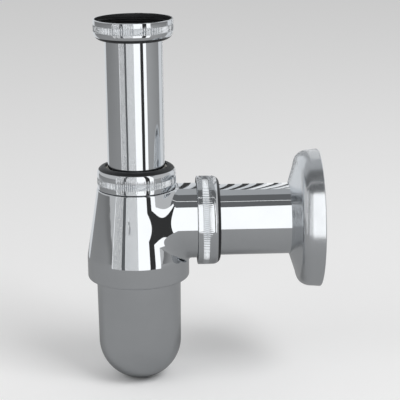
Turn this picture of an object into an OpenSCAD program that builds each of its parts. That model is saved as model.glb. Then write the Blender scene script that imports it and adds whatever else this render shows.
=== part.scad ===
// Bottle trap for a basin, 1 1/4 inch inlet and 40 mm outlet, chrome-plated brass.
// The origin is the centre of the basin nut's mouth. +Z runs up the inlet, +X along the outlet to the wall.
// Lengths are in millimetres. Depths are measured down from the origin, reaches out along the outlet.

/* [Inlet] */
// Outside diameter of the inlet tube
tube_d = 32; // [26:0.5:39]
// Wall of the inlet tube
tube_wall = 1; // [0.7:0.1:1.5]
// Depth of the inlet clamp nut's upper face under the basin nut's mouth
inlet_drop = 82.3; // [40:0.1:120]
// Gap between the tube's open lower end and the inside of the cup's bottom
dip_gap = 20.25; // [18:0.25:30]
// Thickness of the flange turned out at the tube's top
flange_t = 0.9; // [0.8:0.1:1.6]
// Gap round the flange, inside the basin nut
flange_play = 1; // [0.5:0.1:1.5]
// Thickness of the flat basin washer on the flange
washer_t = 1.3; // [1:0.1:2.2]

/* [Nuts] */
// Wall of the pressed nuts
nut_wall = 1; // [0.8:0.1:1.3]
// Bore of the basin nut, at the roots of its 1 1/4 inch pipe thread
basin_thread_d = 42; // [42:0.1:46]
// Height of the basin nut
basin_nut_h = 11.4; // [11.4:0.1:15]
// Radius of the basin nut's rounded shoulder
basin_nut_round = 4.7; // [3:0.1:4.8]
// Height of the inlet clamp nut
inlet_nut_h = 12.4; // [12:0.1:16]
// Radius of the inlet clamp nut's rounded shoulder
inlet_nut_round = 4; // [3:0.1:4.2]
// Height of the outlet clamp nut
outlet_nut_h = 12.8; // [12.4:0.1:16]
// Radius of the outlet clamp nut's rounded shoulder
outlet_nut_round = 4.2; // [3.5:0.1:4.4]

/* [Body] */
// Wall of the inlet's male thread round the seal's mouth
inlet_thread_wall = 1.95; // [0.9:0.05:3]
// Wall of the outlet's male thread round the seal's mouth
outlet_thread_wall = 0.95; // [0.9:0.05:3]
// Step from the inlet clamp nut out to the body's shoulder
collar_step = 0.4; // [0.2:0.1:2]
// Outside diameter of the body's skirt
skirt_d = 57.5; // [57:0.5:72]
// Height of the straight skirt round the cup's thread
skirt_h = 12.5; // [11:0.1:16]
// Wall of the skirt
skirt_wall = 2.15; // [1.8:0.05:3]
// Rounding of the skirt's lower edge
skirt_round = 1.5; // [0.5:0.1:1.7]
// Wall of the cone
body_wall = 1.8; // [1.5:0.1:2.2]
// Width of the ledge that the cup seal presses on
ledge_w = 1.9; // [1.9:0.1:3]
// Wall between the outlet's waterway and the cup seal's ledge
web_t = 1.8; // [1:0.1:3]
// Gap between the skirt and the outlet nut's mouth
stub_gap = 4.65; // [4:0.05:12]

/* [Outlet] */
// Outside diameter of the outlet pipe
pipe_d = 40; // [36:0.5:48]
// Wall of the outlet pipe
pipe_wall = 1; // [0.7:0.1:1.5]
// Length of the outlet pipe
pipe_len = 71.5; // [55:0.5:200]
// Length of pipe inside the nut's mouth plane
pipe_in = 3.4; // [2:0.1:4.6]
// Wall of the body's outlet stub round the pipe
stub_wall = 0.9; // [0.8:0.1:1.4]
// Step that the pipe's inner end stops against
stop_w = 2.5; // [1.5:0.1:4]

/* [Cup] */
// Step from the cup's thread in to the cup's side
cup_step = 2.7; // [2:0.1:5]
// Amount by which the cup's side leans in towards its round bottom
cup_draft = 0.35; // [0:0.05:1]
// Depth of the cup's straight side under the skirt
cup_drop = 37.2; // [25:0.1:60]
// Wall of the pressed cup
cup_wall = 1.2; // [1:0.1:1.6]
// Thickness of the flat cup seal
cup_seal_t = 1.6; // [1:0.1:2]

/* [Wall rosette] */
// Outside diameter of the rosette's rear rim
rosette_d = 78; // [74:1:110]
// Distance from the pipe's end back to the rosette's rear rim
rosette_inset = 1; // [0:0.5:10]
// Depth of the rosette from its collar to its rear rim
rosette_h = 17; // [15:0.5:20]
// Width of the rosette's rounded edge, outside its sloping face
rosette_edge_w = 6; // [4:0.5:8]
// Depth of the sloping face along the pipe
rosette_face_h = 4.2; // [3:0.1:5]
// Height of the rosette's straight skirt
rosette_skirt_h = 5; // [3:0.5:6]
// Wall of the rosette's sheet
rosette_wall = 0.9; // [0.6:0.1:1.2]
// Length of the collar that the rosette's sheet forms along the pipe
rosette_collar_h = 3; // [2:0.5:5]

/* [Seals and slip rings] */
// Width of each compression seal's thick end, over the pipe
seal_w = 2.9; // [2.4:0.1:3.5]
// Width of each compression seal's thin end
seal_tip_w = 1; // [0.6:0.1:1.4]
// Length of each compression seal's taper
seal_cone_h = 4; // [3:0.1:4.5]
// Length of each compression seal's straight head
seal_head_h = 0.8; // [0.5:0.1:1]
// Thickness of each slip ring
ring_t = 1.4; // [1:0.1:1.6]
// Amount by which a slip ring is narrower than the seal's head
ring_inset = 0.3; // [0.1:0.1:0.8]

/* [Fits] */
// Radial play of a seal or a collar that slides on its pipe
slide_play = 0.05; // [0.02:0.01:0.1]
// Radial play between a male thread and its nut
thread_play = 0.1; // [0.05:0.01:0.1]
// Play of a pipe in a bore that only guides it
guide_play = 0.3; // [0.2:0.05:0.5]
// Gap between seated faces of pieces that turn on each other
seat_gap = 0.2; // [0.1:0.05:0.3]

/* [Hidden] */
$fn = 96;
arc_steps = 12;
over = 1;
chrome = "#c9ced3";
rubber = "#26282a";
plastic = "#e4e2da";
// Small chamfers, and the plain lip and grooved grip band of every nut
edge = 0.4;
mouth_band = 2.7;
grip_band = 3.9;
grip_depth = 0.3;
tube_r = tube_d / 2;
pipe_r = pipe_d / 2;
// Distance from a seal's head to the mouth that it presses into, and the mouth's width over the pipe
mouth_drop = seal_head_h + 0.4;
seal_h = seal_head_h + seal_cone_h;
seat_side = seat_gap * 1.2;
mouth_w = seal_w - (seal_w - seal_tip_w) / seal_cone_h * (mouth_drop - seal_head_h) + seat_side;
// Male threads on the body, as crest cylinders, and the nuts round them
inlet_thread_r = tube_r + mouth_w + inlet_thread_wall;
outlet_thread_r = pipe_r + mouth_w + outlet_thread_wall;
inlet_nut_r = inlet_thread_r + thread_play + nut_wall;
outlet_nut_r = outlet_thread_r + thread_play + nut_wall;
basin_nut_r = basin_thread_d / 2 + nut_wall;
// Opening in each nut's shoulder
basin_nut_hole = tube_r + 0.4;
inlet_nut_hole = tube_r + 1.4;
outlet_nut_hole = pipe_r + 0.8;
// Rounding of a nut's shoulder, limited by the width of the shoulder
function shoulder_round(nut_r, hole_r, round_r) = min(round_r, nut_r - hole_r);
// Distance from a nut's closed face to a disc of radius r that seats inside its shoulder
function seat_depth(r, nut_r, round_r) =
    round_r - sqrt(pow(round_r - nut_wall, 2) - pow(max(0, r - nut_r + round_r), 2));
// Flange and washer in the basin nut
flange_r = basin_thread_d / 2 - flange_play;
flange_low = seat_gap - basin_nut_h
    + seat_depth(flange_r, basin_nut_r, shoulder_round(basin_nut_r, basin_nut_hole, basin_nut_round));
flange_top = flange_low + flange_t;
// Slip ring and seal under each clamp nut
inlet_ring_r = tube_r + seal_w;
outlet_ring_r = pipe_r + seal_w - ring_inset * 2;
inlet_ring_top = -inlet_drop - seat_gap
    - seat_depth(inlet_ring_r, inlet_nut_r, shoulder_round(inlet_nut_r, inlet_nut_hole, inlet_nut_round));
inlet_seal_top = inlet_ring_top - ring_t - seat_gap / 2;
shoulder_z = -inlet_drop - inlet_nut_h - seat_gap * 1.5;
skirt_r = skirt_d / 2;
outlet_nut_start = skirt_r + stub_gap;
outlet_ring_out = outlet_nut_start + outlet_nut_h - seat_gap
    - seat_depth(outlet_ring_r, outlet_nut_r, shoulder_round(outlet_nut_r, outlet_nut_hole, outlet_nut_round));
outlet_seal_out = outlet_ring_out - ring_t - seat_gap / 2;
// Body: the outlet pipe's top line is level with the shoulder under the inlet clamp nut
outlet_z = shoulder_z - pipe_r;
passage_r = pipe_r - stop_w;
ledge_z = outlet_z - passage_r - web_t;
skirt_end_z = ledge_z - skirt_h;
body_top_r = inlet_nut_r + collar_step;
cup_thread_r = skirt_r - skirt_wall - thread_play;
skirt_bore = cup_thread_r + thread_play;
cavity_r = cup_thread_r - ledge_w;
cone_slope = (skirt_r - body_top_r) / (shoulder_z - ledge_z);
stub_r = pipe_r + guide_play + stub_wall;
step_x = outlet_nut_start + 0.6;
nut_clearance = 0.6;
// Outlet pipe and rosette
pipe_start = outlet_nut_start - pipe_in;
pipe_stop = pipe_start - 0.5;
pipe_end = pipe_start + pipe_len;
rosette_back = pipe_end + rosette_inset;
rosette_start = rosette_back - rosette_h;
// Cup and the tube that dips into it
cup_rim_z = ledge_z - cup_seal_t - seat_gap * 2;
cup_r = cup_thread_r - cup_step;
cup_low_r = cup_r - cup_draft;
cup_low_z = skirt_end_z - cup_drop;
tube_end_z = cup_low_z - cup_low_r + cup_wall + dip_gap;

// Points of a quarter arc from angle a to angle b about a centre
function arc(c, r, a, b) = [for (i = [0:arc_steps]) let (t = a + (b - a) * i / arc_steps)
    [c[0] + r * cos(t), c[1] + r * sin(t)]];

// Turns its children from the +Z axis to the outlet's axis
module on_outlet() {
    translate([0, 0, outlet_z]) rotate([0, 90, 0]) children();
}

// Pressed nut with its mouth at z = 0: plain lip, grooved grip band, rounded shoulder and threaded bore
module pressed_nut(nut_r, hole_r, height, wanted_round) {
    round_r = shoulder_round(nut_r, hole_r, wanted_round);
    grip_r = nut_r - grip_depth;
    bore_r = nut_r - nut_wall;
    turn = [nut_r - round_r, height - round_r];
    rotate_extrude() polygon(concat(
        [[bore_r, 0], [nut_r - edge, 0], [nut_r, edge], [nut_r, mouth_band],
            [grip_r, mouth_band + grip_depth], [grip_r, mouth_band + grip_band - grip_depth],
            [nut_r, min(mouth_band + grip_band, height - round_r)]],
        arc(turn, round_r, 0, 90),
        [[hole_r, height], [hole_r, height - nut_wall]],
        arc(turn, round_r - nut_wall, 90, 0)));
}

// Flat ring between two heights
module ring(inner_r, outer_r, low, high) {
    difference() {
        translate([0, 0, low]) cylinder(r = outer_r, h = high - low);
        translate([0, 0, low - over]) cylinder(r = inner_r, h = high - low + 2 * over);
    }
}

// Compression seal with its head at z = 0, tapering downwards
module taper_seal(run_r) {
    rotate_extrude() polygon([[run_r + slide_play, 0], [run_r + seal_w, 0], [run_r + seal_w, -seal_head_h],
        [run_r + seal_tip_w, -seal_h], [run_r + slide_play, -seal_h]]);
}

// Space that a compression seal's taper takes in its mouth, with the seal's head at z = 0
module taper_seat(run_r) {
    tip_w = seal_tip_w + seat_side;
    rotate_extrude() polygon([[0, -mouth_drop + over], [run_r + mouth_w, -mouth_drop + over],
        [run_r + mouth_w, -mouth_drop], [run_r + tip_w, -seal_h], [run_r + tip_w, -seal_h - seat_gap],
        [0, -seal_h - seat_gap]]);
}

module basin_nut() {
    color(chrome) rotate([180, 0, 0]) pressed_nut(basin_nut_r, basin_nut_hole, basin_nut_h, basin_nut_round);
}

module basin_washer() {
    color(rubber) ring(tube_r - tube_wall + 0.5, basin_thread_d / 2 - 0.5, flange_top, flange_top + washer_t);
}

module inlet_tube() {
    color(chrome) difference() {
        union() {
            translate([0, 0, tube_end_z]) cylinder(r = tube_r, h = flange_top - tube_end_z);
            translate([0, 0, flange_low]) cylinder(r = flange_r, h = flange_t);
        }
        translate([0, 0, tube_end_z - over]) cylinder(r = tube_r - tube_wall, h = over - tube_end_z);
    }
}

module inlet_clamp_nut() {
    color(chrome) translate([0, 0, -inlet_drop - inlet_nut_h])
        pressed_nut(inlet_nut_r, inlet_nut_hole, inlet_nut_h, inlet_nut_round);
}

module inlet_slip_ring() {
    color(plastic) ring(tube_r + guide_play, inlet_ring_r, inlet_ring_top - ring_t, inlet_ring_top);
}

module inlet_seal() {
    color(rubber) translate([0, 0, inlet_seal_top]) taper_seal(tube_r);
}

// Outer shape of the body about the inlet's axis
module body_shell() {
    mouth_z = inlet_seal_top - mouth_drop;
    round_c = [skirt_r - skirt_round, skirt_end_z + skirt_round];
    rotate_extrude() polygon(concat(
        [[0, mouth_z], [inlet_thread_r - edge, mouth_z], [inlet_thread_r, mouth_z - edge],
            [inlet_thread_r, shoulder_z], [body_top_r - edge, shoulder_z], [body_top_r, shoulder_z - edge],
            [skirt_r, ledge_z]],
        arc(round_c, skirt_round, 0, -90),
        [[0, skirt_end_z]]));
}

// Outer shape of the outlet stub with its threaded end
module stub_shell() {
    mouth_x = outlet_seal_out - mouth_drop;
    on_outlet() rotate_extrude() polygon([[0, 0], [stub_r, 0], [stub_r, step_x], [outlet_thread_r - edge, step_x],
        [outlet_thread_r, step_x + edge], [outlet_thread_r, mouth_x - edge], [outlet_thread_r - edge, mouth_x],
        [0, mouth_x]]);
}

// Space inside the body: neck, waterway, ledge for the cup seal and threaded skirt
module body_space() {
    neck_low = inlet_seal_top - seal_h - 3;
    upper_z = shoulder_z - body_wall;
    upper_r = body_top_r - body_wall * 1.2;
    lower_z = shoulder_z - (cavity_r + body_wall - body_top_r) / cone_slope;
    rotate_extrude() polygon([[0, inlet_seal_top], [tube_r + guide_play, inlet_seal_top],
        [tube_r + guide_play, neck_low], [upper_r, upper_z - edge], [cavity_r, lower_z], [cavity_r, ledge_z],
        [skirt_bore, ledge_z], [skirt_bore, skirt_end_z - over], [0, skirt_end_z - over]]);
    translate([0, 0, inlet_seal_top]) taper_seat(tube_r);
    on_outlet() cylinder(r = passage_r, h = pipe_stop);
    on_outlet() translate([0, 0, pipe_stop]) cylinder(r = pipe_r + guide_play, h = outlet_seal_out);
    on_outlet() translate([0, 0, outlet_seal_out]) taper_seat(pipe_r);
}

module trap_body() {
    color(chrome) difference() {
        union() {
            body_shell();
            difference() {
                stub_shell();
                translate([0, 0, shoulder_z]) cylinder(r = inlet_nut_r + nut_clearance, h = 2 * stub_r);
            }
        }
        body_space();
    }
}

module cup_seal() {
    color(rubber) ring(cavity_r + 0.1, cup_thread_r - seat_gap, cup_rim_z + seat_gap, cup_rim_z + seat_gap + cup_seal_t);
}

module cup() {
    thread_low = skirt_end_z + 0.6;
    side_z = thread_low - cup_step / 2;
    rim_r = cup_thread_r - cup_wall * 4 / 3;
    color(chrome) rotate_extrude() polygon(concat(
        [[rim_r, cup_rim_z], [cup_thread_r - edge, cup_rim_z], [cup_thread_r, cup_rim_z - edge],
            [cup_thread_r, thread_low], [cup_r, side_z]],
        arc([0, cup_low_z], cup_low_r, 0, -90),
        arc([0, cup_low_z], cup_low_r - cup_wall, -90, 0),
        [[cup_r - cup_wall, side_z + cup_wall / 2], [rim_r, thread_low + cup_wall / 2]]));
}

module outlet_clamp_nut() {
    color(chrome) on_outlet() translate([0, 0, outlet_nut_start])
        pressed_nut(outlet_nut_r, outlet_nut_hole, outlet_nut_h, outlet_nut_round);
}

module outlet_slip_ring() {
    color(plastic) on_outlet() ring(pipe_r + guide_play, outlet_ring_r, outlet_ring_out - ring_t, outlet_ring_out);
}

module outlet_seal() {
    color(rubber) on_outlet() translate([0, 0, outlet_seal_out]) taper_seal(pipe_r);
}

module outlet_pipe() {
    color(chrome) on_outlet() ring(pipe_r - pipe_wall, pipe_r, pipe_start, pipe_end);
}

// Pressed wall rosette: collar round the pipe, sloping face, rounded edge and straight skirt
module wall_rosette() {
    hole_r = pipe_r + slide_play;
    rim_r = rosette_d / 2;
    face_r = rim_r - rosette_edge_w;
    face_x = rosette_start + rosette_face_h;
    skirt_x = rosette_back - rosette_skirt_h;
    bulge = [skirt_x - face_x, rim_r - face_r - 0.4];
    lip_r = hole_r + rosette_wall;
    curve = [for (i = [0:arc_steps]) let (t = 90 * i / arc_steps)
        [face_r + bulge[1] * sin(t), skirt_x - bulge[0] * cos(t)]];
    inner = [for (i = [arc_steps:-1:0]) let (t = 90 * i / arc_steps)
        [face_r + bulge[1] * sin(t) - rosette_wall * sin(t) - 0.3 * cos(t),
            skirt_x - (bulge[0] - rosette_wall) * cos(t)]];
    color(chrome) on_outlet() rotate_extrude() polygon(concat(
        [[hole_r, rosette_start]],
        curve,
        [[rim_r, rosette_back - edge], [rim_r - edge, rosette_back], [rim_r - rosette_wall, rosette_back]],
        inner,
        [[lip_r, rosette_start + rosette_wall], [lip_r, rosette_start + rosette_collar_h],
            [hole_r, rosette_start + rosette_collar_h]]));
}

basin_nut();
basin_washer();
inlet_tube();
inlet_clamp_nut();
inlet_slip_ring();
inlet_seal();
trap_body();
cup_seal();
cup();
outlet_clamp_nut();
outlet_slip_ring();
outlet_seal();
outlet_pipe();
wall_rosette();
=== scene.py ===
# %% [markdown]
# # A chrome bottle trap for a wash basin
# A bottle trap hangs under a basin. Waste water falls down the inlet tube into a round cup, rises round
# the outside of the tube and leaves through the outlet pipe, so that some water always stays behind and
# keeps the smell of the drain out. This lesson models its metal, rubber and plastic pieces round a packed
# frame that already holds each piece's exact size and place.

# %% Load the frame
import math

import bpy
import numpy as np
from mathutils import Matrix, Vector


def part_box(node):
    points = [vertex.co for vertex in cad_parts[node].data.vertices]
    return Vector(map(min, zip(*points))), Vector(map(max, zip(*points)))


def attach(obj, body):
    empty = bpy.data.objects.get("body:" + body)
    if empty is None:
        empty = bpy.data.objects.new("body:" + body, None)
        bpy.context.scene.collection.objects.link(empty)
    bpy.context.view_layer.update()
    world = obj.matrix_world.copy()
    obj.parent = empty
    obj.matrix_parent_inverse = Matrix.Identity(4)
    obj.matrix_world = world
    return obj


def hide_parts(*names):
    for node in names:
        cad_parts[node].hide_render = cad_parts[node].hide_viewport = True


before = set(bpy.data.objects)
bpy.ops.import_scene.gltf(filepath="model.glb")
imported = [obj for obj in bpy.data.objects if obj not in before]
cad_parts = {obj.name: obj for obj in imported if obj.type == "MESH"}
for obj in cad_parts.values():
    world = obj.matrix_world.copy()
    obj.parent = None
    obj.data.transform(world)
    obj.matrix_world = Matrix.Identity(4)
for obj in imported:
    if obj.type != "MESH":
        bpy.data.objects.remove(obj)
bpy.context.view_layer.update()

MM = 0.001
print("nodes:", ", ".join(sorted(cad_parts)))

# %% [markdown]
# ## Sizes
# Most sizes that decide how pieces fit are read from the frame, in millimetres; the tube's radius is a given value.
# What is finer than the frame, such as a thread's depth or the pitch of a grip, is a named value beside the piece that
# has it.

# %% Read the frame's sizes
def low(node, axis):
    """Lowest coordinate of a node along an axis, in millimetres."""
    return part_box(node)[0]["xyz".index(axis)] / MM


def high(node, axis):
    """Highest coordinate of a node along an axis, in millimetres."""
    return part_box(node)[1]["xyz".index(axis)] / MM


outlet_z = (low("outlet_pipe", "z") + high("outlet_pipe", "z")) / 2
pipe_r = high("outlet_pipe", "y")
tube_r = 16.0
nut_r = high("basin_nut", "x")
nut_wall = 1.0
print(f"outlet axis at {outlet_z:.2f}, pipe radius {pipe_r:.2f}, nut radius {nut_r:.2f}")

# %% [markdown]
# ## A lathe
# Nearly every piece of a trap is round: pressed, spun or turned. So the main tool is a lathe. It draws a
# section as one chain of extruded edges and spins that chain about the Z axis. Corners are given with
# their rounding, because a polished metal edge is never sharp: its small arc is what catches the light.

# %% Draw rounded sections
ARC_STEP = math.radians(10)


def rounded(corners):
    """Outline through (radius, height, rounding) corners, each rounding drawn as an arc of short edges."""
    points = []
    for i, corner in enumerate(corners):
        here = Vector(corner[:2])
        size = corner[2] if len(corner) > 2 else 0
        before = (Vector(corners[i - 1][:2]) - here).normalized()
        after = (Vector(corners[(i + 1) % len(corners)][:2]) - here).normalized()
        if not size:
            points.append(here)
            continue
        half = before.angle(after) / 2
        centre = here + (before + after).normalized() * size / math.sin(half)
        first = here + before * size / math.tan(half) - centre
        turn = (math.pi - 2 * half) * (1 if before.cross(after) < 0 else -1)
        steps = max(3, math.ceil(abs(turn) / ARC_STEP))
        for k in range(steps + 1):
            c, s = math.cos(turn * k / steps), math.sin(turn * k / steps)
            points.append(centre + Vector((first.x * c - first.y * s, first.x * s + first.y * c)))
    return points


def arc(centre, radius, start, end, steps=12):
    """Corners on a quarter or any other arc of a section, angles in degrees."""
    angles = [math.radians(start + (end - start) * k / steps) for k in range(steps + 1)]
    return [(centre[0] + radius * math.cos(a), centre[1] + radius * math.sin(a)) for a in angles]


# %% Turn a section on the lathe
def alone(piece):
    """Selects one object and nothing else."""
    bpy.ops.object.select_all(action="DESELECT")
    piece.select_set(True)
    bpy.context.view_layer.objects.active = piece


def clean():
    """In edit mode: merges doubled vertices and points every face outwards."""
    bpy.ops.mesh.select_all(action="SELECT")
    bpy.ops.mesh.remove_doubles(threshold=0.0005 * MM)
    bpy.ops.mesh.delete_loose()
    bpy.ops.mesh.select_all(action="SELECT")
    bpy.ops.mesh.normals_make_consistent(inside=False)


def turned(name, corners, segments=192):
    """Spins a closed section about the Z axis into a solid piece."""
    path = rounded(corners)
    bpy.ops.object.select_all(action="DESELECT")
    bpy.ops.mesh.primitive_plane_add(size=MM, location=(path[0].x * MM, 0, path[0].y * MM))
    piece = bpy.context.object
    piece.name = piece.data.name = name
    bpy.ops.object.transform_apply()
    bpy.ops.object.mode_set(mode="EDIT")
    bpy.ops.mesh.merge(type="CENTER")
    for a, b in zip(path, path[1:] + path[:1]):
        step = ((b.x - a.x) * MM, 0, (b.y - a.y) * MM)
        bpy.ops.mesh.extrude_vertices_move(TRANSFORM_OT_translate={"value": step})
    bpy.ops.mesh.select_all(action="SELECT")
    bpy.ops.mesh.remove_doubles(threshold=0.0005 * MM)
    bpy.ops.mesh.spin(steps=segments, angle=2 * math.pi, center=(0, 0, 0), axis=(0, 0, 1))
    clean()
    bpy.ops.object.mode_set(mode="OBJECT")
    return piece


def apply_all(piece):
    """Applies every modifier of a piece."""
    alone(piece)
    for modifier in list(piece.modifiers):
        bpy.ops.object.modifier_apply(modifier=modifier.name)


def polish(piece, sharp=32):
    """Smooth shading that breaks at sharp edges, with each face weighing as much as its area."""
    alone(piece)
    bpy.ops.object.shade_smooth_by_angle(angle=math.radians(sharp))
    weigh = piece.modifiers.new("weigh", "WEIGHTED_NORMAL")
    weigh.keep_sharp = True
    apply_all(piece)
    print(f"{piece.name}: {len(piece.data.polygons)} faces")
    return piece


def to_outlet(piece):
    """Lays a piece that was modelled upright along the outlet's axis."""
    alone(piece)
    piece.rotation_euler = (0, math.pi / 2, 0)
    piece.location = (0, 0, outlet_z * MM)
    bpy.ops.object.transform_apply()
    return piece


def stand(piece, body, slot, *nodes):
    """Puts a finished piece in its CAD nodes' place, on their body."""
    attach(piece, body)
    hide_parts(*nodes)
    return piece


# %% [markdown]
# ## Threads
# A thread is a ridge that climbs by one pitch each turn. The Screw modifier sweeps a small tooth along
# that path. A union joins it to the wall it grows from. A nut's teeth stand half a pitch away from those
# of its mate, so both can mesh with a little play, and turning a nut by the joint's travel keeps it so.

# %% Cut a thread
NUT_PITCH = 25.4 / 11
CUP_PITCH = 2.0
TOOTH_SLOPE = 0.5
THREAD_STEPS = 96


def join_solid(piece, other, operation="UNION"):
    """Joins another solid to a piece, or cuts it out of the piece, and removes the other."""
    modifier = piece.modifiers.new("join", "BOOLEAN")
    modifier.operation = operation
    modifier.solver = "MANIFOLD"
    modifier.object = other
    apply_all(piece)
    bpy.data.objects.remove(other)
    return piece


def thread(wall_r, depth, start, turns, pitch):
    """Helical ridge on a wall, outwards if depth is above 0 and inwards if it is below, as one closed solid."""
    side = math.copysign(1, depth)
    half = pitch * 0.2165
    base = half + abs(depth) / 2 * TOOTH_SLOPE
    tip = half - abs(depth) / 2 * TOOTH_SLOPE
    foot_r = wall_r - side * 0.15
    tooth = [(foot_r, -base), (wall_r, -base), (wall_r + depth, -tip), (wall_r + depth, tip), (wall_r, base),
             (foot_r, base)]
    bpy.ops.object.select_all(action="DESELECT")
    bpy.ops.mesh.primitive_circle_add(vertices=len(tooth), radius=MM, location=(0, 0, 0))
    ridge = bpy.context.object
    for vertex, (r, h) in zip(ridge.data.vertices, tooth):
        vertex.co = (r * MM, 0, (start + h) * MM)
    screw = ridge.modifiers.new("screw", "SCREW")
    screw.screw_offset = pitch * MM * turns
    screw.angle = 2 * math.pi * turns
    screw.steps = screw.render_steps = round(THREAD_STEPS * turns)
    screw.use_smooth_shade = False
    apply_all(ridge)
    bpy.ops.object.mode_set(mode="EDIT")
    bpy.ops.mesh.select_all(action="SELECT")
    bpy.ops.mesh.fill_holes(sides=len(tooth))
    clean()
    bpy.ops.object.mode_set(mode="OBJECT")
    return ridge


# %% [markdown]
# ## Knurled nuts
# The three nuts are pressed from sheet brass: a plain lip at the mouth, a band of fine straight ridges for
# the fingers, and a rounded shoulder that ends in a hole for the pipe. The ridges could be a bump in the
# material, but they show in the outline and break up each reflection, so they are real. The nut is spun
# with six columns of faces for each ridge, and the columns between two ridges are pressed in.

# %% Press a nut
GROOVE = 0.42
FLANK = 0.3
BAND_ROUND = 0.35


def pressed_nut(name, r, hole_r, height, shoulder, lip, band, ridges):
    """Nut with its mouth at z = 0: plain lip, knurled band, rounded shoulder, and a bore for its thread."""
    inner = r - nut_wall
    low_z, high_z = lip + 0.05, lip + band - 0.05
    corners = [(inner, 0, 0.3), (r, 0, 0.35), (r, low_z), (r, low_z + FLANK), (r, (low_z + high_z) / 2),
               (r, high_z - FLANK), (r, high_z)]
    corners += arc((r - shoulder, height - shoulder), shoulder, 0, 90, 18)[0 if high_z < height - shoulder else 1:-1]
    corners += [(hole_r, height, 0.25), (hole_r, height - nut_wall, 0.25)]
    corners += arc((r - shoulder, height - shoulder), shoulder - nut_wall, 90, 0, 12)[1:]
    nut = turned(name, corners, segments=6 * ridges)
    vertices = nut.data.vertices
    co = np.array([v.co for v in vertices]) / MM
    out = np.hypot(co[:, 0], co[:, 1])
    column = np.round(np.arctan2(co[:, 1], co[:, 0]) / (2 * math.pi) * 6 * ridges).astype(int) % 6
    in_band = (out > r - 0.02) & (co[:, 2] > low_z + FLANK / 2) & (co[:, 2] < high_z - FLANK / 2)
    for columns, depth in (((0, 1), GROOVE), ((2, 5), GROOVE * 0.35)):
        chosen = in_band & np.isin(column, columns)
        alone(nut)
        bpy.ops.object.mode_set(mode="EDIT")
        bpy.ops.mesh.select_mode(type="VERT")
        bpy.ops.mesh.select_all(action="DESELECT")
        bpy.ops.object.mode_set(mode="OBJECT")
        vertices.foreach_set("select", chosen)
        bpy.ops.object.mode_set(mode="EDIT")
        shrink = (r - depth) / r
        bpy.ops.transform.resize(value=(shrink, shrink, 1), center_override=(0, 0, 0))
        bpy.ops.object.mode_set(mode="OBJECT")
    return nut


# %% Model the three nuts
RIDGE_PITCH = 1.152


def ridges_round(r):
    return round(2 * math.pi * r / RIDGE_PITCH)


basin_nut_h = -low("basin_nut", "z")
basin_nut = pressed_nut("basin_nut_pressed", nut_r, tube_r + 0.4, basin_nut_h, 4.7, 2.7, 3.9, ridges_round(nut_r))
join_solid(basin_nut, thread(nut_r - nut_wall, -1.0, 1.15, 2.0, NUT_PITCH))
alone(basin_nut)
basin_nut.rotation_euler = (math.pi, 0, 0)
bpy.ops.object.transform_apply()
stand(polish(basin_nut), "basin_nut", "chrome", "basin_nut")

inlet_nut_h = high("inlet_clamp_nut", "z") - low("inlet_clamp_nut", "z")
inlet_nut = pressed_nut("inlet_nut_pressed", nut_r, tube_r + 1.4, inlet_nut_h, 4.0, 2.7, 3.9, ridges_round(nut_r))
join_solid(inlet_nut, thread(nut_r - nut_wall, -1.0, 1.65, 2.5, NUT_PITCH))
alone(inlet_nut)
inlet_nut.location = (0, 0, low("inlet_clamp_nut", "z") * MM)
bpy.ops.object.transform_apply()
stand(polish(inlet_nut), "inlet_clamp_nut", "chrome", "inlet_clamp_nut")

outlet_nut_r = high("outlet_clamp_nut", "y")
outlet_nut_x = low("outlet_clamp_nut", "x")
outlet_nut_h = high("outlet_clamp_nut", "x") - outlet_nut_x
outlet_nut = pressed_nut("outlet_nut_pressed", outlet_nut_r, pipe_r + 0.8, outlet_nut_h, 4.2, 2.7, 3.9,
                         ridges_round(outlet_nut_r))
join_solid(outlet_nut, thread(outlet_nut_r - nut_wall, -0.6, 2.55, 2.4, NUT_PITCH))
alone(outlet_nut)
outlet_nut.location = (0, 0, outlet_nut_x * MM)
bpy.ops.object.transform_apply()
stand(polish(to_outlet(outlet_nut)), "outlet_clamp_nut", "chrome", "outlet_clamp_nut")

# %% [markdown]
# ## Tubes
# The inlet tube is drawn brass, its upper end turned out into a flange that the basin nut pulls against the
# waste. The bend of the flange is rounded on both sides, because sheet can't be folded sharp. The outlet
# pipe is a plain length of tube, with both ends deburred.

# %% Draw the tubes
TUBE_WALL = 1.0
flange_r = high("inlet_tube", "x")
flange_top = high("inlet_tube", "z")
flange_t = 0.9
tube_end = low("inlet_tube", "z")
inlet_tube = turned("inlet_tube_drawn", [
    (tube_r - TUBE_WALL, tube_end, 0.2), (tube_r, tube_end, 0.35), (tube_r, tube_end + 2),
    (tube_r, flange_top - flange_t - 2), (tube_r, flange_top - flange_t, 0.35),
    (flange_r, flange_top - flange_t, 0.3), (flange_r, flange_top, 0.3),
    (tube_r - TUBE_WALL, flange_top, 0.8), (tube_r - TUBE_WALL, flange_top - 3),
    (tube_r - TUBE_WALL, tube_end + 2)], segments=256)
stand(polish(inlet_tube), "inlet_tube", "chrome", "inlet_tube")

pipe_start, pipe_end = low("outlet_pipe", "x"), high("outlet_pipe", "x")
outlet_pipe = turned("outlet_pipe_drawn", [
    (pipe_r - TUBE_WALL, pipe_start, 0.2), (pipe_r, pipe_start, 0.35), (pipe_r, pipe_start + 2),
    (pipe_r, pipe_end - 2), (pipe_r, pipe_end, 0.35), (pipe_r - TUBE_WALL, pipe_end, 0.2),
    (pipe_r - TUBE_WALL, pipe_end - 2), (pipe_r - TUBE_WALL, pipe_start + 2)], segments=256)
stand(polish(to_outlet(outlet_pipe)), "outlet_pipe", "chrome", "outlet_pipe")

# %% [markdown]
# ## Seals and slip rings
# Each pipe is sealed by a tapered rubber ring that its nut squeezes into the mouth below. A thin plastic
# ring between nut and rubber lets the nut slip without twisting it. They are moulded, so their edges are
# soft, and the rubber has small beads that press on the pipe.

# %% Mould the seals
SLIDE_PLAY = 0.05


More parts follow.
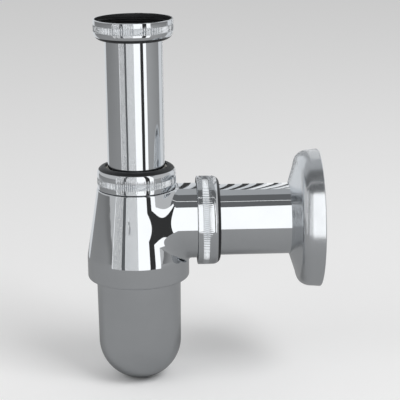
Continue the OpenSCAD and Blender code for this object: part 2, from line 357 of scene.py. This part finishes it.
def taper_seal(name, run_r, width, tip, head, length):
    """Tapered seal with its head at z = 0 and its tip below."""
    bore = run_r + SLIDE_PLAY
    return turned(name, [
        (bore, 0, 0.3), (run_r + width, 0, 0.3), (run_r + width, -head, 0.3), (run_r + tip, -length, 0.3),
        (bore, -length, 0.2), (bore, -length + 0.7), (bore + 0.2, -length + 1.1, 0.2), (bore, -length + 1.5),
        (bore, -length + 2.1), (bore + 0.2, -length + 2.5, 0.2), (bore, -length + 2.9)], segments=160)


seal_h = high("inlet_seal", "z") - low("inlet_seal", "z")
inlet_seal = taper_seal("inlet_seal_rubber", tube_r, high("inlet_seal", "x") - tube_r, 1.0, 0.8, seal_h)
inlet_seal.location = (0, 0, high("inlet_seal", "z") * MM)
alone(inlet_seal)
bpy.ops.object.transform_apply()
stand(polish(inlet_seal, 50), "inlet_seal", "rubber", "inlet_seal")

outlet_seal = taper_seal("outlet_seal_rubber", pipe_r, high("outlet_seal", "y") - pipe_r, 1.0, 0.8, seal_h)
outlet_seal.location = (0, 0, high("outlet_seal", "x") * MM)
alone(outlet_seal)
bpy.ops.object.transform_apply()
stand(polish(to_outlet(outlet_seal), 50), "outlet_seal", "rubber", "outlet_seal")


def flat_ring(name, inner, outer, low_z, high_z, soft, groove=0.0):
    """Flat ring with soft edges and, if groove is above 0, a shallow groove round its upper face."""
    middle = (inner + outer) / 2
    corners = [(inner, low_z, soft), (outer, low_z, soft), (outer, high_z, soft)]
    if groove:
        corners += [(middle + 0.9, high_z), (middle, high_z - groove, 0.3), (middle - 0.9, high_z)]
    return turned(name, corners + [(inner, high_z, soft)], segments=160)


washer = flat_ring("basin_washer_rubber", TUBE_WALL + 14.5, high("basin_washer", "x"), low("basin_washer", "z"),
                   high("basin_washer", "z"), 0.3, groove=0.25)
stand(polish(washer, 50), "inlet_tube", "rubber", "basin_washer")
cup_seal = flat_ring("cup_seal_rubber", 24.7, high("cup_seal", "x"), low("cup_seal", "z"),
                     high("cup_seal", "z"), 0.35)
stand(polish(cup_seal, 50), "cup_seal", "rubber", "cup_seal")
inlet_ring = flat_ring("inlet_slip_ring_plastic", tube_r + 0.3, high("inlet_slip_ring", "x"),
                       low("inlet_slip_ring", "z"), high("inlet_slip_ring", "z"), 0.25, groove=0.2)
stand(polish(inlet_ring, 50), "inlet_slip_ring", "plastic", "inlet_slip_ring")
outlet_ring = flat_ring("outlet_slip_ring_plastic", pipe_r + 0.3, high("outlet_slip_ring", "y"),
                        low("outlet_slip_ring", "x"), high("outlet_slip_ring", "x"), 0.25, groove=0.2)
stand(polish(to_outlet(outlet_ring), 50), "outlet_slip_ring", "plastic", "outlet_slip_ring")

# %% [markdown]
# ## The cup
# The cup is deep-drawn brass: a straight side that leans in very slightly, a round bottom, and a thicker rim
# with a thread that screws up into the body's skirt. It is unscrewed by hand to empty the trap.

# %% Draw the cup
CUP_WALL = 1.2
CUP_LEAN = 0.35
cup_thread_r = high("cup", "x")
cup_rim = high("cup", "z")
cup_r = cup_thread_r - 2.7
cup_low_r = cup_r - CUP_LEAN
cup_low = low("cup", "z") + cup_low_r
thread_low = low("trap_body", "z") + 0.6
CUP_TOOTH = 0.7
root_r = cup_thread_r - CUP_TOOTH
cup = turned("cup_drawn", [
    (cup_thread_r - 1.6, cup_rim, 0.3), (root_r, cup_rim, 0.4), (root_r, thread_low + 0.5),
    (root_r, thread_low + 0.1, 0.2), (cup_r, thread_low - 1.35, 1.2), (cup_r - 0.02, thread_low - 3.5),
    *arc((0, cup_low), cup_low_r, 0, -90, 40), *arc((0, cup_low), cup_low_r - CUP_WALL, -90, 0, 24),
    (cup_r - CUP_WALL, thread_low - 0.75, 1.2), (cup_thread_r - 1.6, thread_low + 0.6, 1.0)], segments=256)
join_solid(cup, thread(root_r, CUP_TOOTH, thread_low + 0.8, 4.1, CUP_PITCH))
stand(polish(cup), "cup", "chrome", "cup")

# %% [markdown]
# ## The wall rosette
# The rosette is a thin pressed disc that slides on the pipe and hides the hole in the wall: a collar round
# the pipe, a sloping face, a rounded edge and a straight skirt.

# %% Press the rosette
ROSETTE_WALL = 0.9
rosette_x0, rosette_x1 = low("wall_rosette", "x"), high("wall_rosette", "x")
rim_r = high("wall_rosette", "y")
face_r, face_x, skirt_x = rim_r - 6, rosette_x0 + 4.2, rosette_x1 - 5
hole_r = pipe_r + SLIDE_PLAY
bulge_r, bulge_x = rim_r - face_r - 0.4, skirt_x - face_x


def edge_curve(inset, start, end, steps=18):
    """Section of the rounded edge as a quarter ellipse, moved inwards by the sheet's wall."""
    angles = [math.radians(start + (end - start) * k / steps) for k in range(steps + 1)]
    return [(face_r + (bulge_r - inset) * math.sin(a) - inset * 0.3 * math.cos(a),
             skirt_x - (bulge_x - inset) * math.cos(a)) for a in angles]


rosette = turned("wall_rosette_pressed", [
    (hole_r, rosette_x0, 0.3), *edge_curve(0, 0, 90), (rim_r, rosette_x1 - 0.4, 0.3), (rim_r - 0.3, rosette_x1, 0.2),
    (rim_r - ROSETTE_WALL, rosette_x1, 0.2), *edge_curve(ROSETTE_WALL, 90, 0),
    (hole_r + ROSETTE_WALL, rosette_x0 + ROSETTE_WALL, 0.8), (hole_r + ROSETTE_WALL, rosette_x0 + 3, 0.3),
    (hole_r, rosette_x0 + 3, 0.3)], segments=256)
stand(polish(to_outlet(rosette)), "wall_rosette", "chrome", "wall_rosette")

# %% [markdown]
# ## The body
# The body is one brass casting: a cone with a threaded neck on top, a skirt below for the cup, and a stub
# for the outlet. The stub grows out of the cone in a smooth fillet, polished with the rest, so there is no
# seam to hide. Two solids and a bevel can't give such a fillet where a pipe leaves a cone. So the outer
# skin is written as a distance: below 0 inside the metal, above 0 outside, with the fillet as a soft
# minimum of the two. A rough voxel mesh of cone and stub is then drawn onto that skin, and its shading
# follows the skin's own slope, which keeps the reflections in the chrome straight and clean.

# %% Write the body's skin as a distance
shoulder = low("inlet_clamp_nut", "z") - 0.3
neck_top = high("trap_body", "z")
skirt_low = low("trap_body", "z")
ledge = high("cup_seal", "z") + 0.2
skirt_r = high("trap_body", "y")
top_r = nut_r + 0.4
stub_r = pipe_r + 1.2
STUB_END = 36.0
CREASE = 0.25
SHOULDER_ROUND = 0.45
SKIRT_ROUND = 1.5
FILLET_SIDE, FILLET_ENDS = 5.0, 1.6
slope = (skirt_r - top_r) / (shoulder - ledge)


def soft_max(a, b, size):
    """Solid inside both a and b, their crease blended over a short width."""
    near = np.maximum(size - np.abs(a - b), 0) / size
    return np.maximum(a, b) + near * near * size / 4


def round_edge(a, b, r):
    """Solid inside both a and b, with its edge rounded."""
    return np.minimum(np.maximum(a, b), -r) + np.hypot(np.maximum(a + r, 0), np.maximum(b + r, 0))


def fillet(a, b, r):
    """Solid inside a or b, with a fillet where they meet."""
    return np.maximum(np.minimum(a, b), r) - np.hypot(np.maximum(r - a, 0), np.maximum(r - b, 0))


def skin(p):
    """Distance in millimetres from points to the body's outer skin."""
    x, y, z = p[:, 0], p[:, 1], p[:, 2]
    r = np.hypot(x, y)
    cone = (r - top_r - (shoulder - z) * slope) / math.hypot(1, slope)
    side = soft_max(cone, r - skirt_r, CREASE)
    body = round_edge(round_edge(side, skirt_low - z, SKIRT_ROUND), z - shoulder, SHOULDER_ROUND)
    up = z - outlet_z
    out = np.hypot(y, up)
    stub = np.maximum(np.maximum(out - stub_r, -x), x - STUB_END)
    across = np.square(y / np.maximum(out, 0.1))
    return fillet(body, stub, FILLET_ENDS + (FILLET_SIDE - FILLET_ENDS) * across)


def skin_slope(p):
    """Direction in which the distance to the skin grows, from small steps either way."""
    step = 0.002
    ways = [(skin(p + step * axis) - skin(p - step * axis)) / (2 * step) for axis in np.eye(3)]
    return np.stack(ways, 1)


# %% Draw a voxel mesh onto the skin
VOXEL = 0.5

core = turned("trap_body_cast", [(0, shoulder), (top_r, shoulder), (skirt_r, ledge), (skirt_r, skirt_low),
                                 (0, skirt_low)], segments=128)
bpy.ops.object.select_all(action="DESELECT")
bpy.ops.mesh.primitive_cylinder_add(vertices=128, radius=stub_r * MM, depth=STUB_END * MM,
                                    location=(STUB_END / 2 * MM, 0, outlet_z * MM), rotation=(0, math.pi / 2, 0))
bpy.ops.object.transform_apply()
core.select_set(True)
bpy.context.view_layer.objects.active = core
bpy.ops.object.join()
core.data.remesh_voxel_size = VOXEL * MM
bpy.ops.object.voxel_remesh()
co = np.empty(len(core.data.vertices) * 3, np.float32)
core.data.vertices.foreach_get("co", co)
points = co.reshape(-1, 3).astype(float) / MM
for _ in range(6):
    way = skin_slope(points)
    steps = np.clip(skin(points) / np.maximum((way * way).sum(1), 0.25), -0.4, 0.4)
    points -= way * steps[:, None]
core.data.vertices.foreach_set("co", (points * MM).astype(np.float32).ravel())
core.data.update()
print(f"body skin: {len(points)} vertices, furthest from the skin {np.abs(skin(points)).max():.4f} mm")

# %% Bore the body and cut its threads
NECK_TOOTH, COLLAR_TOOTH, SKIRT_TOOTH = 1.0, 0.6, 0.7
seat_play = 0.24
male_r = nut_r - nut_wall - 0.1
clear = turned("clear", [(0, shoulder + 0.005), (nut_r + 0.6, shoulder + 0.005, 0.3), (nut_r + 0.6, shoulder + 30),
                         (0, shoulder + 30)], segments=192)
join_solid(core, clear, "DIFFERENCE")
neck = turned("neck", [(0, shoulder - 2), (male_r - NECK_TOOTH, shoulder - 2), (male_r - NECK_TOOTH, neck_top, 0.5),
                       (0, neck_top)], segments=192)
join_solid(neck, thread(male_r - NECK_TOOTH, NECK_TOOTH, shoulder + 0.8, 3.0, NUT_PITCH))
join_solid(core, neck)
collar_r = outlet_nut_r - nut_wall - 0.1
collar_x0, collar_x1 = outlet_nut_x + 0.6, high("trap_body", "x")
collar = turned("collar", [(0, collar_x0), (collar_r - COLLAR_TOOTH, collar_x0, 0.4),
                           (collar_r - COLLAR_TOOTH, collar_x1, 0.3), (0, collar_x1)], segments=192)
join_solid(collar, thread(collar_r - COLLAR_TOOTH, COLLAR_TOOTH, collar_x0 + 0.8, 2.7, NUT_PITCH))
join_solid(core, to_outlet(collar))
seal_low = low("inlet_seal", "z")
cavity_r, skirt_bore = cup_thread_r - 1.9, cup_thread_r + 0.1
waterway = turned("waterway", [
    (0, neck_top + 5), (tube_r + 2.95, neck_top + 5), (tube_r + 2.95, neck_top), (tube_r + 1.24, seal_low),
    (tube_r + 1.24, seal_low - 0.2), (tube_r + 0.3, seal_low - 0.2), (tube_r + 0.3, seal_low - 3),
    (top_r - 2.16, shoulder - 2.2, 1.5), (cavity_r, ledge + 14.6, 3), (cavity_r, ledge, 0.3), (skirt_bore, ledge, 0.3),
    (skirt_bore, skirt_low - 5), (0, skirt_low - 5)], segments=192)
join_solid(core, waterway, "DIFFERENCE")
seal_x = low("outlet_seal", "x")
bore = turned("outlet_bore", [
    (0, 0), (pipe_r - 2.5, 0), (pipe_r - 2.5, pipe_start - 0.5), (pipe_r + 0.3, pipe_start - 0.5, 0.2),
    (pipe_r + 0.3, seal_x - 0.2), (pipe_r + 1.24, seal_x - 0.2), (pipe_r + 1.24, seal_x), (pipe_r + 2.95, collar_x1),
    (pipe_r + 2.95, collar_x1 + 5), (0, collar_x1 + 5)], segments=192)
join_solid(core, to_outlet(bore), "DIFFERENCE")
join_solid(core, thread(skirt_bore, -SKIRT_TOOTH, skirt_low + 2.4, 3.6, CUP_PITCH))
print(f"body after boring: {len(core.data.polygons)} faces")

# %% Shade the body by its skin
alone(core)
bpy.ops.object.shade_smooth_by_angle(angle=math.radians(35))


def shade_by_skin(piece):
    """Gives the faces that lie on the skin the skin's own slope as their shading normals."""
    mesh = piece.data
    co = np.empty(len(mesh.vertices) * 3, np.float32)
    mesh.vertices.foreach_get("co", co)
    points = co.reshape(-1, 3).astype(float) / MM
    way = skin_slope(points)
    way /= np.maximum(np.linalg.norm(way, axis=1), 1e-6)[:, None]
    near = np.abs(skin(points)) < 0.02
    corner_vertex = np.empty(len(mesh.loops), np.int32)
    mesh.loops.foreach_get("vertex_index", corner_vertex)
    sizes = np.empty(len(mesh.polygons), np.int32)
    mesh.polygons.foreach_get("loop_total", sizes)
    face_way = np.empty(len(mesh.polygons) * 3, np.float32)
    mesh.polygons.foreach_get("normal", face_way)
    corner_face = np.repeat(face_way.reshape(-1, 3), sizes, axis=0)
    normals = way[corner_vertex]
    on_skin = near[corner_vertex] & ((normals * corner_face).sum(1) > 0.85)
    normals[~on_skin] = 0
    mesh.normals_split_custom_set(normals.tolist())
    print(f"{piece.name}: {on_skin.mean():.0%} of its corners follow the skin")


shade_by_skin(core)
stand(core, "trap_body", "chrome", "trap_body")

# %% [markdown]
# ## Shader maths
# A material's pattern is maths on the point's own coordinates. Wiring Math nodes by hand is slow to read, so
# a small class lets a socket be used in a plain Python expression, which then adds its nodes.

# %% Wrap sockets in Python
class Value:
    """A number socket in a material, with + - * / that add Math nodes."""

    def __init__(self, tree, socket):
        self.tree, self.socket = tree, socket

    def math(self, operation, a, b=None):
        inputs = {0: a} if b is None else {0: a, 1: b}
        return self.tree.node("ShaderNodeMath", {"operation": operation}, inputs).value()

    def __add__(self, other):
        return self.math("ADD", self, other)

    def __radd__(self, other):
        return self.math("ADD", other, self)

    def __sub__(self, other):
        return self.math("SUBTRACT", self, other)

    def __rsub__(self, other):
        return self.math("SUBTRACT", other, self)

    def __mul__(self, other):
        return self.math("MULTIPLY", self, other)

    def __rmul__(self, other):
        return self.math("MULTIPLY", other, self)

    def __truediv__(self, other):
        return self.math("DIVIDE", self, other)

    def __rtruediv__(self, other):
        return self.math("DIVIDE", other, self)


class Made:
    """A node that was added, and its outputs."""

    def __init__(self, tree, node):
        self.tree, self.node = tree, node

    def value(self, name=0):
        return Value(self.tree, self.node.outputs[name])


class Material:
    """A material with nodes, built by one method."""

    def __init__(self, name):
        self.material = bpy.data.materials.new(name)
        self.material.use_nodes = True
        self.nodes = self.material.node_tree.nodes
        self.nodes.clear()

    def node(self, kind, settings=None, inputs=None):
        """Adds a node, sets its settings first and then the values or links of its sockets."""
        node = self.nodes.new(kind)
        for key, value in (settings or {}).items():
            if key == "stops":
                for k, (place, colour) in enumerate(value):
                    stop = node.color_ramp.elements[k] if k < 2 else node.color_ramp.elements.new(place)
                    stop.position, stop.color = place, colour
            else:
                setattr(node, key, value)
        for key, value in (inputs or {}).items():
            if isinstance(value, Value):
                self.material.node_tree.links.new(value.socket, node.inputs[key])
            else:
                node.inputs[key].default_value = value
        return Made(self, node)

    def place(self):
        """The point's own coordinates, in metres."""
        return self.node("ShaderNodeTexCoord").value("Object")

    def noise(self, scale, detail=2.0, roughness=0.5, stretch=(1, 1, 1)):
        """Noise with about scale bumps a metre along each axis, times stretch."""
        where = self.node("ShaderNodeMapping", {}, {"Vector": self.place(), "Scale": stretch}).value()
        return self.node("ShaderNodeTexNoise", {}, {"Vector": where, "Scale": scale, "Detail": detail,
                                                     "Roughness": roughness}).value("Fac")

    def ramp(self, value, low, high, from_=0.0, to=1.0):
        """Maps low..high of a value to from_..to, smoothly and no further."""
        return self.node("ShaderNodeMapRange", {"interpolation_type": "SMOOTHSTEP"}, {
            "Value": value, "From Min": low, "From Max": high, "To Min": from_, "To Max": to}).value()

    def mix(self, share, a, b):
        """Colour between a and b."""
        mixed = self.node("ShaderNodeMix", {"data_type": "RGBA"}, {"Factor": share, 6: a, 7: b})
        return mixed.value(2)

    def bump(self, height, distance, strength=1.0):
        return self.node("ShaderNodeBump", {}, {"Height": height, "Distance": distance, "Strength": strength}).value()

    def surface(self, **inputs):
        """Ends the material in a Principled shader."""
        sockets = {key.replace("_", " "): value for key, value in inputs.items()}
        shader = self.node("ShaderNodeBsdfPrincipled", {}, sockets)
        self.node("ShaderNodeOutputMaterial", {}, {"Surface": shader.value()})
        return self.material


# %% [markdown]
# ## Finishes
# The chrome is a mirror, but not a perfect one: polishing leaves faint waves and a haze that comes and goes,
# and water leaves a thin film. Those live in the roughness and in a very low bump. Where the polishing
# wheel can't reach, inside the pieces, the plate is dull; its colour there is also painted near-black as
# shade for the hollows. The rosette is spun and only satin-bright.

# %% Mix the chrome
CHROME = (0.76, 0.785, 0.81, 1)
# Near-black colour painted inside the pieces as the shade of their hollows.
PAINTED_HOLLOW_SHADE = (0.07, 0.072, 0.075, 1)


def inner_mask(m, axis, inside_r, soft=0.2):
    """1 nearer to an axis than a radius in millimetres, and 0 outside it."""
    where = m.place()
    if axis == "x":
        where = m.node("ShaderNodeVectorMath", {"operation": "SUBTRACT"},
                       {0: where, 1: (0, 0, outlet_z * MM)}).value()
    flat = m.node("ShaderNodeVectorMath", {"operation": "MULTIPLY"},
                  {0: where, 1: (1, 1, 0) if axis == "z" else (0, 1, 1)}).value()
    distance = m.node("ShaderNodeVectorMath", {"operation": "LENGTH"}, {0: flat}).value("Value")
    return m.ramp(distance, (inside_r - soft) * MM, inside_r * MM, 1.0, 0.0)


def chrome(name, axis="z", inside_r=0.0, haze=0.025, low_haze=0.02, wave=0.1):
    """Polished chrome, rougher and painted darker as shade nearer to its axis than inside_r."""
    m = Material(name)
    cloud = m.ramp(m.noise(55, 3.0, 0.6), 0.35, 0.75)
    grain = m.ramp(m.noise(900, 2.0, 0.5), 0.3, 0.8)
    rough = low_haze + haze * cloud + 0.012 * grain
    colour = m.mix(cloud, CHROME, tuple(0.97 * c for c in CHROME[:3]) + (1,))
    if inside_r:
        dull_and_shaded = inner_mask(m, axis, inside_r)
        rough = rough + 0.45 * dull_and_shaded
        # The same mask paints the colour near-black inside: painted shade for the hollow, not a colour of the plate.
        colour = m.mix(dull_and_shaded, colour, PAINTED_HOLLOW_SHADE)
    waves = m.bump(m.noise(70, 1.0, 0.4), 0.0004, wave)
    return m.surface(Base_Color=colour, Metallic=1.0, Roughness=rough, Normal=waves)


def wear(piece, material):
    piece.data.materials.clear()
    piece.data.materials.append(material)


wear(inlet_tube, chrome("chrome_inlet_tube", "z", tube_r - 0.5))
wear(outlet_pipe, chrome("chrome_outlet_pipe", "x", pipe_r - 0.5))
wear(basin_nut, chrome("chrome_basin_nut", "z", nut_r - 0.7))
wear(inlet_nut, chrome("chrome_inlet_nut", "z", nut_r - 0.7))
wear(outlet_nut, chrome("chrome_outlet_nut", "x", outlet_nut_r - 0.7, haze=0.08, low_haze=0.06))
wear(core, chrome("chrome_body"))
wear(cup, chrome("chrome_cup"))
wear(rosette, chrome("chrome_rosette", "x", 0, haze=0.1, low_haze=0.16))

# %% Mix rubber and plastic
def rubber(name):
    """Black moulded rubber with a fine mat grain and a bloom of grey."""
    m = Material(name)
    bloom = m.ramp(m.noise(120, 4.0, 0.6), 0.4, 0.75)
    colour = m.mix(bloom, (0.018, 0.018, 0.02, 1), (0.05, 0.05, 0.052, 1))
    return m.surface(Base_Color=colour, Roughness=0.5 + 0.25 * bloom,
                     Normal=m.bump(m.noise(2500, 3.0, 0.6), 0.0001, 0.5))


def plastic(name):
    """Off-white moulded plastic, slightly mottled."""
    m = Material(name)
    mottle = m.ramp(m.noise(160, 3.0, 0.5), 0.35, 0.7)
    colour = m.mix(mottle, (0.82, 0.8, 0.74, 1), (0.74, 0.72, 0.66, 1))
    return m.surface(Base_Color=colour, Roughness=0.35 + 0.15 * mottle,
                     Normal=m.bump(m.noise(1200, 2.0, 0.5), 0.0001, 0.25))


for piece in (inlet_seal, outlet_seal, washer, cup_seal):
    wear(piece, rubber("rubber_" + piece.name))
for piece in (inlet_ring, outlet_ring):
    wear(piece, plastic("plastic_" + piece.name))

# %% [markdown]
# ## The camera
# The camera stands a little above the trap, looks slightly to the side and is rolled by under a degree. Its
# long lens and its place were found by matching known sizes, such as the 32 mm tube and the 40 mm pipe, to
# where they lie in the photograph.

# %% Place the camera
AZIMUTH, ELEVATION, ROLL = -2.352, 14.872, -0.703
DISTANCE, TARGET = 832.81, Vector((35.411, 0, -103.367))
FOCAL_PIXELS, FRAME_PIXELS, SENSOR = 1477.0, 400, 36.0

a, e, roll = (math.radians(v) for v in (AZIMUTH, ELEVATION, ROLL))
back = Vector((math.sin(a) * math.cos(e), -math.cos(a) * math.cos(e), math.sin(e)))
level = Vector((math.cos(a), math.sin(a), 0))
upright = back.cross(level)
right = level * math.cos(roll) + upright * math.sin(roll)
above = upright * math.cos(roll) - level * math.sin(roll)
bpy.ops.object.camera_add()
camera = bpy.context.object
camera.data.sensor_width = SENSOR
camera.data.lens = FOCAL_PIXELS / FRAME_PIXELS * SENSOR
camera.data.clip_start, camera.data.clip_end = 0.05, 50
place = (TARGET + back * DISTANCE) * MM
camera.matrix_world = Matrix((right, above, back)).transposed().to_4x4()
camera.location = place
bpy.context.scene.camera = camera
print(f"camera at {tuple(round(v, 3) for v in place)}, lens {camera.data.lens:.1f} mm")

# %% [markdown]
# ## The studio
# Chrome has no colour of its own: it shows the room. A photographer lights it with cards, some white and
# some black, that stand just outside the picture, and their straight edges make the crisp bands along the
# tubes. The cards here are seen in reflections only. The lamps light the floor and the soft pieces, and
# the floor is plain and pale.

# %% Lay the floor
FLOOR_SIZE = 12.0
floor_z = low("cup", "z") * MM - 0.0001


def stage_material(name, grey, glossy_grey):
    """Floor paint that reflections see in another grey."""
    m = Material(name)
    path = m.node("ShaderNodeLightPath")
    colour = m.mix(path.value("Is Glossy Ray"), (grey, grey, grey, 1), (glossy_grey, glossy_grey, glossy_grey, 1))
    return m.surface(Base_Color=colour, Roughness=0.9, Specular_IOR_Level=0.0)


bpy.ops.object.select_all(action="DESELECT")
bpy.ops.mesh.primitive_plane_add(size=FLOOR_SIZE, location=(0, FLOOR_SIZE * 0.35, floor_z))
floor = bpy.context.object
floor.name = "floor"
wear(floor, stage_material("floor_paint", 0.95, 0.35))

# %% Stand the cards
CARD_R = 330
TOP = 330
floor_mm = floor_z / MM


def glow(name, grey, tint=1.0):
    """Card that shines in one grey, given as it shows in a picture from 0 to 255."""
    m = Material(name)
    level = ((grey / 255 + 0.055) / 1.055) ** 2.4 / CHROME[1]
    shader = m.node("ShaderNodeEmission", {}, {"Color": (level / tint, level, level * tint, 1), "Strength": 1.0})
    m.node("ShaderNodeOutputMaterial", {}, {"Surface": shader.value()})
    return m.material


def seen_in_reflections(card):
    card.visible_camera = card.visible_diffuse = card.visible_shadow = card.visible_transmission = False


def card(name, start, end, low_mm, high_mm, grey, radius=CARD_R, tint=1.0):
    """Upright card round the trap, from one azimuth to another: 0 is in front and 90 to the right."""
    bpy.ops.object.select_all(action="DESELECT")
    bpy.ops.mesh.primitive_plane_add(size=MM, location=(0, 0, 0))
    made = bpy.context.object
    made.name = name
    first = math.radians(start - 90)
    bpy.ops.object.mode_set(mode="EDIT")
    bpy.ops.mesh.merge(type="CENTER")
    bpy.ops.transform.translate(value=(radius * MM * math.cos(first), radius * MM * math.sin(first), low_mm * MM))
    bpy.ops.mesh.extrude_vertices_move(TRANSFORM_OT_translate={"value": (0, 0, (high_mm - low_mm) * MM)})
    bpy.ops.mesh.select_all(action="SELECT")
    bpy.ops.mesh.spin(steps=max(1, round(abs(end - start) / 2)), angle=math.radians(end - start), center=(0, 0, 0),
                      axis=(0, 0, 1))
    bpy.ops.object.mode_set(mode="OBJECT")
    wear(made, glow(name, grey, tint))
    seen_in_reflections(made)
    return made


card("card_back_left", -180, -138, floor_mm, TOP, 60)
card("card_left", -138, -29, floor_mm, TOP, 200, tint=1.02)
card("card_black", -29, 0, floor_mm, TOP, 18)
card("card_front", 0, 37, floor_mm, TOP, 125, tint=1.02)
card("card_slit", 37, 49, floor_mm, TOP, 50)
card("card_right", 49, 157, floor_mm, TOP, 255)
card("card_thin", 157, 163, floor_mm, TOP, 150)
card("card_back", 163, 180, floor_mm, TOP, 235)

# %% Hang the ceiling
def sheet_card(name, x0, x1, y0, y1, z, grey, tint=1.0):
    """Level card between two corners, in millimetres."""
    bpy.ops.object.select_all(action="DESELECT")
    bpy.ops.mesh.primitive_plane_add(size=1, location=((x0 + x1) / 2 * MM, (y0 + y1) / 2 * MM, z * MM))
    made = bpy.context.object
    made.name = name
    made.scale = ((x1 - x0) * MM, (y1 - y0) * MM, 1)
    bpy.ops.object.transform_apply()
    wear(made, glow(name, grey, tint))
    seen_in_reflections(made)
    return made


sheet_card("ceiling", -400, 400, -400, 400, TOP, 95, tint=1.02)
sheet_card("ceiling_strip", -400, 400, -135, -125, TOP - 2, 255)
sheet_card("ceiling_back", -400, 400, 60, 400, TOP - 2, 155, tint=1.02)

# %% Switch on the lamps
def lamp(name, place, aim, size, watts):
    """Soft square lamp that reflections don't show."""
    bpy.ops.object.light_add(type="AREA", location=place)
    made = bpy.context.object
    made.name = name
    made.data.size = size
    made.data.energy = watts
    made.rotation_euler = (Vector(aim) - Vector(place)).to_track_quat("-Z", "Y").to_euler()
    made.visible_glossy = False
    return made


lamp("key", (0.9, -0.9, 1.2), (0, 0, -0.15), 0.9, 14)
lamp("fill", (-1.4, -1.0, 0.9), (0, 0, -0.15), 1.2, 6)
world = bpy.data.worlds.new("studio")
bpy.context.scene.world = world
world.use_nodes = True
world.node_tree.nodes["Background"].inputs["Color"].default_value = (1, 1, 1, 1)
world.node_tree.nodes["Background"].inputs["Strength"].default_value = 0.55
bpy.context.scene.view_settings.view_transform = "Standard"
